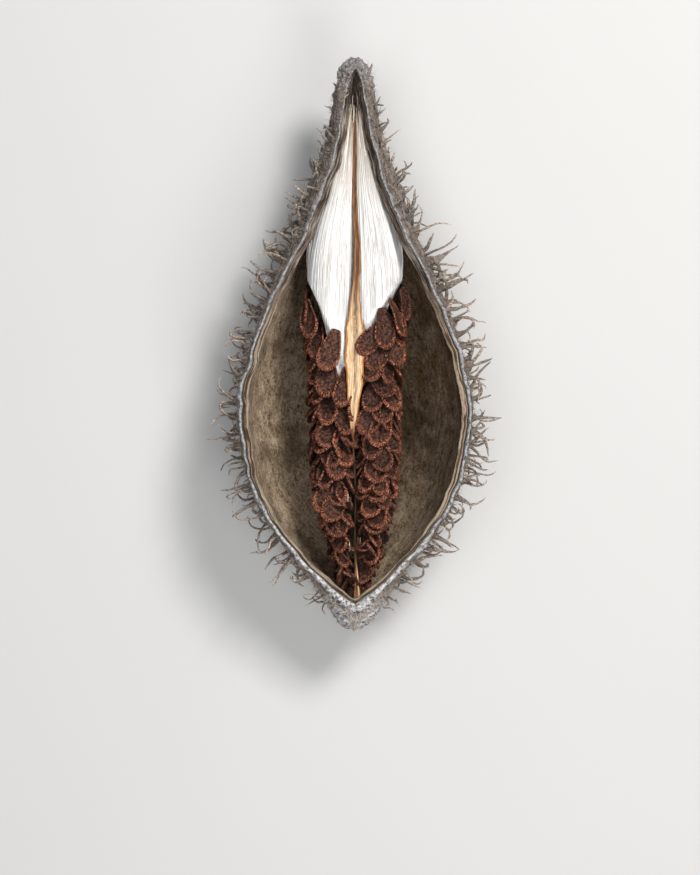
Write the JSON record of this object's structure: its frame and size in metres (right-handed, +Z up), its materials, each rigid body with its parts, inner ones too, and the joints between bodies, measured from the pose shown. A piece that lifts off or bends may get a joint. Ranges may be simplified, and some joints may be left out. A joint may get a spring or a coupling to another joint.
{
  "type": "milkweed seed pod",
  "caption": "Dry spiny milkweed pod, split open along its seam and lying on its back, with overlapping brown seeds and white silk still packed inside.",
  "frame": {"origin": "middle of the narrow flat along the keel on which the pod rests, under the deepest part of the pod", "axes": "+Z up out of the open seam, +Y along the pod towards its pointed tip, -Y towards its base and stalk, +X across the pod"},
  "size_m": [0.0475, 0.1, 0.0252],
  "materials": {
    "husk": "dry, matt, felted grey-brown outside with soft spines, smooth tan lining inside",
    "stalk": "dry, matt, finely ribbed",
    "membrane": "papery, cream to brown, matt",
    "silk": "fine white silk strands with a soft sheen",
    "seed_coat": "reddish brown, corky raised rim round a rough darker centre"
  },
  "bodies": {
    "root": {"pod_wall": "husk", "stalk": "stalk", "placenta": "membrane", "floss_left": "silk", "floss_right": "silk", "seed_row_left_01": "seed_coat", "seed_row_left_02": "seed_coat", "seed_row_left_03": "seed_coat", "seed_row_left_04": "seed_coat", "seed_row_left_05": "seed_coat", "seed_row_left_06": "seed_coat", "seed_row_left_07": "seed_coat", "seed_row_left_08": "seed_coat", "seed_row_left_09": "seed_coat", "seed_row_left_10": "seed_coat", "seed_row_left_11": "seed_coat", "seed_row_left_12": "seed_coat", "seed_row_left_13": "seed_coat", "seed_row_left_14": "seed_coat", "seed_row_left_15": "seed_coat", "seed_row_left_16": "seed_coat", "seed_row_left_17": "seed_coat", "seed_row_left_18": "seed_coat", "seed_row_left_19": "seed_coat", "seed_row_left_20": "seed_coat", "seed_row_left_21": "seed_coat", "seed_row_left_22": "seed_coat", "seed_row_left_23": "seed_coat", "seed_row_right_01": "seed_coat", "seed_row_right_02": "seed_coat", "seed_row_right_03": "seed_coat", "seed_row_right_04": "seed_coat", "seed_row_right_05": "seed_coat", "seed_row_right_06": "seed_coat", "seed_row_right_07": "seed_coat", "seed_row_right_08": "seed_coat", "seed_row_right_09": "seed_coat", "seed_row_right_10": "seed_coat", "seed_row_right_11": "seed_coat", "seed_row_right_12": "seed_coat", "seed_row_right_13": "seed_coat", "seed_row_right_14": "seed_coat", "seed_row_right_15": "seed_coat", "seed_row_right_16": "seed_coat", "seed_row_right_17": "seed_coat", "seed_row_right_18": "seed_coat", "seed_row_right_19": "seed_coat", "seed_row_right_20": "seed_coat", "seed_row_right_21": "seed_coat", "seed_row_right_22": "seed_coat", "seed_row_right_23": "seed_coat"}
  },
  "joints": []
}
